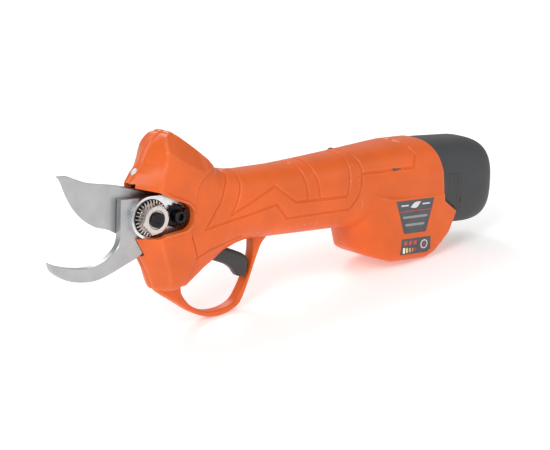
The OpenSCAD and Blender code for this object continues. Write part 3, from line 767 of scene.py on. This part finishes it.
# %% [markdown]
# The hooked blade is a horn on a broad root. It is as thick as the root right up to its hollow edge, and the
# long outer edge is broken by a small chamfer, so that it slips under a branch.

# %% Hooked counter blade
hook_lower = through([(-60, -19.2), (-57.4, -24.6), (-49, -29.6), (-37, -31.8), (-27, -30.6), (-14, -25.6),
                      (-2, -20), (4, -12), (5, 0), (5, 10.6)], 130)
hook_upper = through([(-60, -19.0), (-55, -21.2), (-46, -23.4), (-36, -24.2), (-28, -22.2), (-22.5, -19),
                      (-18.9, -15.8), (-17.2, -12.4), (-16.6, -8), (-16.6, 1), (-16.6, 10.6)], 130)
hook_section = np.array([(0.0, -0.5), (0.02, -0.02), (0.985, -0.02), (1.0, -0.2), (1.0, -4.4), (0.985, -4.65),
                         (0.04, -4.65), (0.0, -4.0)])
make_piece("hooked_counter_blade", *between(hook_lower, hook_upper, hook_section), "handle", blade_steel,
           ["counter_blade"], sharp=14, slot="blade_steel")

# %% [markdown]
# ## The pivot
# A serrated ring under the hexagon nut meshes with a small black star, and the star's screw stops the nut
# from working loose. All of them are rings about axes along Y: the hexagon and the teeth are radii that
# change with the angle.

# %% Nut, serrated ring, star and screws
def hexagon(flats, turn=0.0):
    """Radius of a hexagon that is flats wide across its flats, by angle."""
    return lambda a: flats / 2 / np.cos((a - math.radians(turn)) % (math.pi / 3) - math.pi / 6)


def teeth(number, low, high, sharp=1.0, turn=0.0):
    """Radius of a toothed wheel by angle: a triangle wave between low and high."""
    wave = lambda a: np.abs(((a - math.radians(turn)) * number / (2 * math.pi)) % 1 * 2 - 1)
    return lambda a: low + (high - low) * np.clip(wave(a) * 1.6 - 0.3, 0, 1) ** sharp


nut_hex = hexagon(14.9, 14)
nut_chamfer = lambda a: -14.2 + np.maximum(nut_hex(a) - 7.55, 0) * 0.75
socket_hex = hexagon(3.4)
ring_teeth = teeth(30, 7.9, 10.1)
ring_tips = teeth(30, 7.6, 9.8)
star_teeth = teeth(12, 5.0, 6.6, 0.7)
star_centre = (15.4, 0.0)
ring_count = 384

nut_rings = [(4.4, -9.62), (nut_hex, -9.62), (nut_hex, nut_chamfer), (7.3, -14.2), (5.2, -14.2),
             (4.8, -13.8), (4.4, -13.8)]
# The thin dark disc under the serrated ring is painted shade: it darkens the gaps between the teeth, where shadow
# falls.
shade_disc_rings = [(4.4, -8.02), (10.3, -8.02), (10.3, -8.3), (4.4, -8.3)]
ring_rings = [(4.4, -8.3), (ring_teeth, -8.3), (ring_teeth, -9.3), (ring_tips, -9.6), (4.4, -9.6)]
star_rings = [(2.05, -8.0), (star_teeth, -8.0), (star_teeth, -9.5), (5.3, -9.8), (2.05, -9.8)]
screw_rings = [(0.02, -12.6), (socket_hex, -12.6), (socket_hex, -14.5), (2.1, -14.8), (3.1, -14.8),
               (3.6, -14.3), (3.6, -9.85), (2, -9.85), (2, -5), (0.02, -5)]
bolt_hex = hexagon(12.8)
bolt_rings = [(0.02, -15.0), (1.6, -15.0), (2.2, -15.5), (3.6, -15.5), (4.3, -14.9), (4.3, 9.3),
              (bolt_hex, 9.3), (bolt_hex, 13.3), (6.2, 13.8), (0.02, 13.8)]

make_piece("hexagon_nut", *turned(nut_rings, count=192), "handle", bright_steel, ["pivot_nut"], sharp=25,
           slot="bright_steel")
# Painted shade: a dark disc that shows through the gaps between the ring's teeth.
make_piece("ring_shade_disc", *turned(shade_disc_rings, count=96), "handle", black_steel, slot="black_steel")
make_piece("serrated_ring", *turned(ring_rings, count=ring_count), "handle", bright_steel, ["lock_ring"],
           sharp=25, slot="bright_steel")
make_piece("lock_star", *turned(star_rings, star_centre, 192), "handle", black_steel, ["lock_gear"], sharp=25,
           slot="black_steel")
make_piece("socket_screw", *turned(screw_rings, star_centre, 96), "handle", black_steel, ["lock_screw"],
           sharp=25, slot="black_steel")
make_piece("pivot_bolt_body", *turned(bolt_rings, count=192), "handle", black_steel, ["pivot_bolt"], sharp=25,
           slot="black_steel")

# %% [markdown]
# ## Trigger
# A dark lever with a hollow for the finger. It is the space between its back and its finger side, with a
# full rounded section.

# %% Trigger
trigger_back = through([(45, -18.5), (50, -19.5), (55, -23), (61.5, -25.6), (67, -28), (70.1, -31),
                        (69.8, -36), (68, -39.8)], 70)
trigger_front = through([(42.8, -28), (47, -30), (52, -31.8), (56.5, -33.8), (60, -36.4), (62.3, -39.2),
                         (64, -40.7), (66.4, -40.9)], 70)
trigger_section = rounded_section(4.2, 3.0, 48)
make_piece("trigger_lever", *between(trigger_back, trigger_front, trigger_section), "trigger_lever",
           trigger_plastic, ["trigger"], sharp=50, slot="dark_plastic")

# %% [markdown]
# ## Plates, lights and the button
# The badge and the control panel are thin plates let into the left cheek. The badge carries only a leaf,
# two dashes and plain rules, the panel three square lamps and five charge bars, and the button a power mark.

# %% Badge and control panel
plate_face = -23.2
plate_back = -22.3
badge = [(160.8, -3.8), (190.2, -3.8), (184.8, -23.7), (167.7, -23.7)]
panel = [(166.2, -26.7), (188.8, -26.7), (188.8, -34.4), (186.4, -36.1), (166.2, -36.1)]
soften(make_piece("badge", *prism(badge, plate_face, plate_back), "handle", plate_plastic, ["badge_plate"],
                  slot="plate_plastic"), 0.25)
soften(make_piece("panel", *prism(panel, plate_face, plate_back), "handle", plate_plastic, ["control_panel"],
                  slot="plate_plastic"), 0.25)


def mark(name, outline, finish, body="handle", face=plate_face, proud=0.07):
    """A thin printed mark that stands a hair proud of the face it lies on."""
    return make_piece(name, *prism(outline, face - proud, face + 0.1), body, finish)


def bar(x0, x1, z0, z1):
    """A rectangle from x0 to x1 and z0 to z1."""
    return [(x0, z0), (x1, z0), (x1, z1), (x0, z1)]


leaf = np.vstack([through([(171.6, -8.2), (175, -5.4), (179.6, -5.2)], 16),
                  through([(179.6, -5.2), (176.4, -8.6), (171.6, -8.2)], 16)[1:-1]])
mark("badge_leaf", leaf, white_print)
mark("badge_dash_1", bar(164.6, 170.2, -7.2, -6.4), white_print)
mark("badge_dash_2", bar(181, 186.6, -7.2, -6.4), white_print)
mark("badge_line", bar(163.8, 187, -10.6, -10.2), red_print)
mark("badge_rule_1", bar(166.4, 185, -14.6, -13.2), grey_print)
mark("badge_rule_2", bar(168.4, 183, -19.2, -17.8), grey_print)

# %% Lamps, charge bars and power button
light_front, light_back = -23.4, -23.1
square = 2.5
for i in range(3):
    left = 168 + 3.6 * i
    lamp_outline = bar(left, left + square, -30.6, -30.6 + square)
    lamp = make_piece("status_lamp_%d" % (i + 1), *prism(lamp_outline, light_front, light_back), "handle",
                      red_lens, ["status_lenses"] if i == 0 else (), slot="red_lens")
    soften(lamp, 0.1)

for i, (width, tall) in enumerate(zip(np.linspace(1.6, 0.6, 5), np.linspace(3.3, 1.8, 5))):
    middle = 168.2 + 2.25 * i
    bar_outline = bar(middle - width / 2, middle + width / 2, -33.6 - tall / 2, -33.6 + tall / 2)
    level = make_piece("charge_bar_%d" % (i + 1), *prism(bar_outline, light_front, light_back), "handle",
                       level_lenses[i], ["level_lenses"] if i == 0 else (), slot="level_lens")
    soften(level, 0.1)

button_centre = (183.5, -31.0)
cap_rings = [(0.02, -23.44), (2.05, -23.44), (2.15, -23.5), (2.6, -23.5), (2.7, -23.3), (2.7, -21.4),
             (0.02, -21.4)]
face_rings = [(0.02, -23.48), (2.05, -23.48), (2.05, -23.4), (0.02, -23.4)]
make_piece("power_button_cap", *turned(cap_rings, button_centre), "button", white_print, ["power_button"],
           slot="button_cap")
make_piece("power_button_face", *turned(face_rings, button_centre), "button", plate_plastic,
           slot="plate_plastic")
power_arc = np.vstack([circle(button_centre, 1.05, 125, 415, 40), circle(button_centre, 0.75, 415, 125, 40)])
mark("power_mark_ring", power_arc, red_print, "button", -23.48, 0.05)
mark("power_mark_stroke", bar(183.35, 183.65, -31, -29.7), red_print, "button", -23.48, 0.05)
lens_rings = [(0.02, 1.2), (1.3, 1.1), (2.0, 0.7), (2.35, 0.0), (2.35, -3.0), (0.02, -3.0)]
make_piece("work_lamp", *lamp_stack(lens_rings), "handle", clear_lens, ["work_light"], slot="light_lens")

# %% [markdown]
# ## The battery
# The battery's case carries on the line of the handle and closes with a rounded end. Its skin is a closed
# superellipse carried along X, and towards the end the whole section shrinks along a superellipse too.

# %% Battery case
pack_half = 22.0
dome_start = 225.0
pack_end = 242.6
pack_top = line((190, 27.8), (200, 27.8), (226, 27.0), (243, 24))
pack_low = line((190, -24), (210, -24.4), (226, -24.6), (243, -23))
pack_middle = 1.0


def battery_skin(rows_along=44, rows_dome=36, around=220):
    """A superellipse of power 3 across, from the seam line to the dome, then shrinking to a point behind."""
    angle = np.linspace(0, 2 * math.pi, around, endpoint=False)
    bend = lambda v, p: np.sign(v) * np.abs(v) ** (2 / p)
    y, up = bend(np.cos(angle), 3.0), bend(np.sin(angle), 2.7)
    turn = np.linspace(0, math.pi / 2, rows_dome)
    swell = np.concatenate([np.ones(rows_along), np.maximum(np.cos(turn), 0) ** (2 / 3.4)])
    share = np.concatenate([np.linspace(0, 1, rows_along), np.ones(rows_dome)])[:, None]
    reach = np.concatenate([np.zeros(rows_along), np.sin(turn) ** (2 / 3.4)])[:, None]
    beyond = reach * (pack_end - dome_start)
    height = lambda x: np.where(up > 0, pack_top(x) - pack_middle, pack_middle - pack_low(x))
    z = pack_middle + up * height(dome_start) * swell[:, None]
    x = battery_seam(z) + 0.4 + (dome_start - battery_seam(z) - 0.4) * share + beyond
    z = pack_middle + up * height(x) * swell[:, None]
    return np.stack([x, y * pack_half * swell[:, None], z], -1)


pack_points = battery_skin()
pack_faces = grid_faces(*pack_points.shape[:2], around=True)
pack_case = make_piece("battery_skin", pack_points, pack_faces, "battery", grip_plastic, ["battery_cap"],
                       slot="dark_plastic")
case_wall = pack_case.modifiers.new("Wall", "SOLIDIFY")
case_wall.thickness = 1.6 * MM
case_wall.offset = -1


# %% Release latches
latch_start = 200.2
latch_length = 13.6
latch_top = 9
latch_lines = [[(201.8 + 3.3 * i, 6.2), (201.8 + 3.3 * i, -1.5 - 2.2 * i)] for i in range(4)]


def build_latch(name, side):
    """A pad let into the side of the case: a height over X and Z with four grip grooves cut in it."""
    across, down = np.meshgrid(np.linspace(0, 1, 90), np.linspace(0, 1, 60), indexing="ij")
    x = latch_start + latch_length * across
    low = np.interp(across, [0, 0.79, 1], [-6.6, -13.8, -14.2])
    z = latch_top + (low - latch_top) * down
    near = np.min([segment_distance(x, z, g) for g in latch_lines], axis=0)
    sides = [across * latch_length, (1 - across) * latch_length, down * 15, (1 - down) * 15]
    rim = np.min(sides, axis=0)
    y = 22.1 - 0.5 * (1 - step_up(rim, 0.6)) - 1.0 * (1 - step_up(near - 0.3, 0.4))
    points, faces = block(np.stack([x, y, z], -1), 19.8)
    node = name.replace("_pad", "")
    body = node.replace("latch", "release")
    return make_piece(name, points * (1, side, 1), faces, body, trigger_plastic, [node], sharp=60,
                      slot="dark_plastic")


build_latch("left_latch_pad", -1)
build_latch("right_latch_pad", 1)

# %% [markdown]
# ## Floor, light and camera
# A wide pale floor, a bright even sky and three soft lamps light the tool as in a small light tent. The
# camera is a long lens to the left of the nose, slightly above, and a little rolled.

# %% Floor and light
studio, studio_root, studio_place = start_finish("Pale studio floor")
floor_cloud = noise(studio_root, studio_place, 400, 2)
floor_colour = mix(studio_root, floor_cloud, (0.93, 0.93, 0.93), (0.95, 0.95, 0.95))
floor_roughness = 0.7 + noise(studio_root, studio_place, 300, 2) * 0.1
end_finish(studio, studio_root, floor_colour, floor_roughness, noise(studio_root, studio_place, 2, 2), 0.001,
           Emission_Color=(1, 1, 1, 1), Emission_Strength=0.3)
floor_mesh = bpy.data.meshes.new("Floor")
floor_mesh.from_pydata([(-6, -6, 0), (6, -6, 0), (6, 6, 0), (-6, 6, 0)], [], [(0, 1, 2, 3)])
floor = bpy.data.objects.new("Floor", floor_mesh)
floor_mesh.materials.append(studio)
bpy.context.scene.collection.objects.link(floor)

world = bpy.data.worlds.new("Studio")
world.use_nodes = True
world.node_tree.nodes["Background"].inputs[0].default_value = (1, 1, 1, 1)
world.node_tree.nodes["Background"].inputs[1].default_value = 0.5
bpy.context.scene.world = world


def add_lamp(name, place, aim, size, power):
    """A square area lamp at place, facing aim."""
    lamp = bpy.data.lights.new(name, "AREA")
    lamp.size = size
    lamp.energy = power
    holder = bpy.data.objects.new(name, lamp)
    holder.location = place
    holder.rotation_euler = (Vector(aim) - Vector(place)).to_track_quat("-Z", "Y").to_euler()
    bpy.context.scene.collection.objects.link(holder)


tool_middle = (0, 0, 0.06)
add_lamp("Key", (-1.0, -0.6, 1.0), tool_middle, 0.7, 9)
add_lamp("Fill", (0.8, -1.1, 0.7), tool_middle, 0.9, 2.5)
add_lamp("Rim", (0.3, 1.0, 1.0), tool_middle, 0.7, 6)

# %% Colour management
bpy.context.scene.view_settings.view_transform = "Standard"
bpy.context.scene.view_settings.look = "None"

# %% Camera
camera_place = stand([(-589.9, -871, 220.3)])[0]
azimuth, elevation, roll = map(math.radians, (38, 12, 2))
level_forward = np.array([math.sin(azimuth), math.cos(azimuth), 0])
forward = level_forward * math.cos(elevation) - np.array([0, 0, math.sin(elevation)])
level_right = np.array([math.cos(azimuth), -math.sin(azimuth), 0])
level_up = np.cross(level_right, forward)
right = level_right * math.cos(roll) + level_up * math.sin(roll)
up = level_up * math.cos(roll) - level_right * math.sin(roll)
camera_data = bpy.data.cameras.new("Camera")
camera_data.sensor_width = 36
camera_data.lens = 130.9
camera_data.clip_start = 0.05
camera = bpy.data.objects.new("Camera", camera_data)
turned_axes = lean_matrix @ np.stack([right, up, -forward], -1)
camera.matrix_world = Matrix([[*turned_axes[i], camera_place[i]] for i in range(3)] + [[0, 0, 0, 1]])
bpy.context.scene.collection.objects.link(camera)
bpy.context.scene.camera = camera
print("camera at", camera_place.round(3))
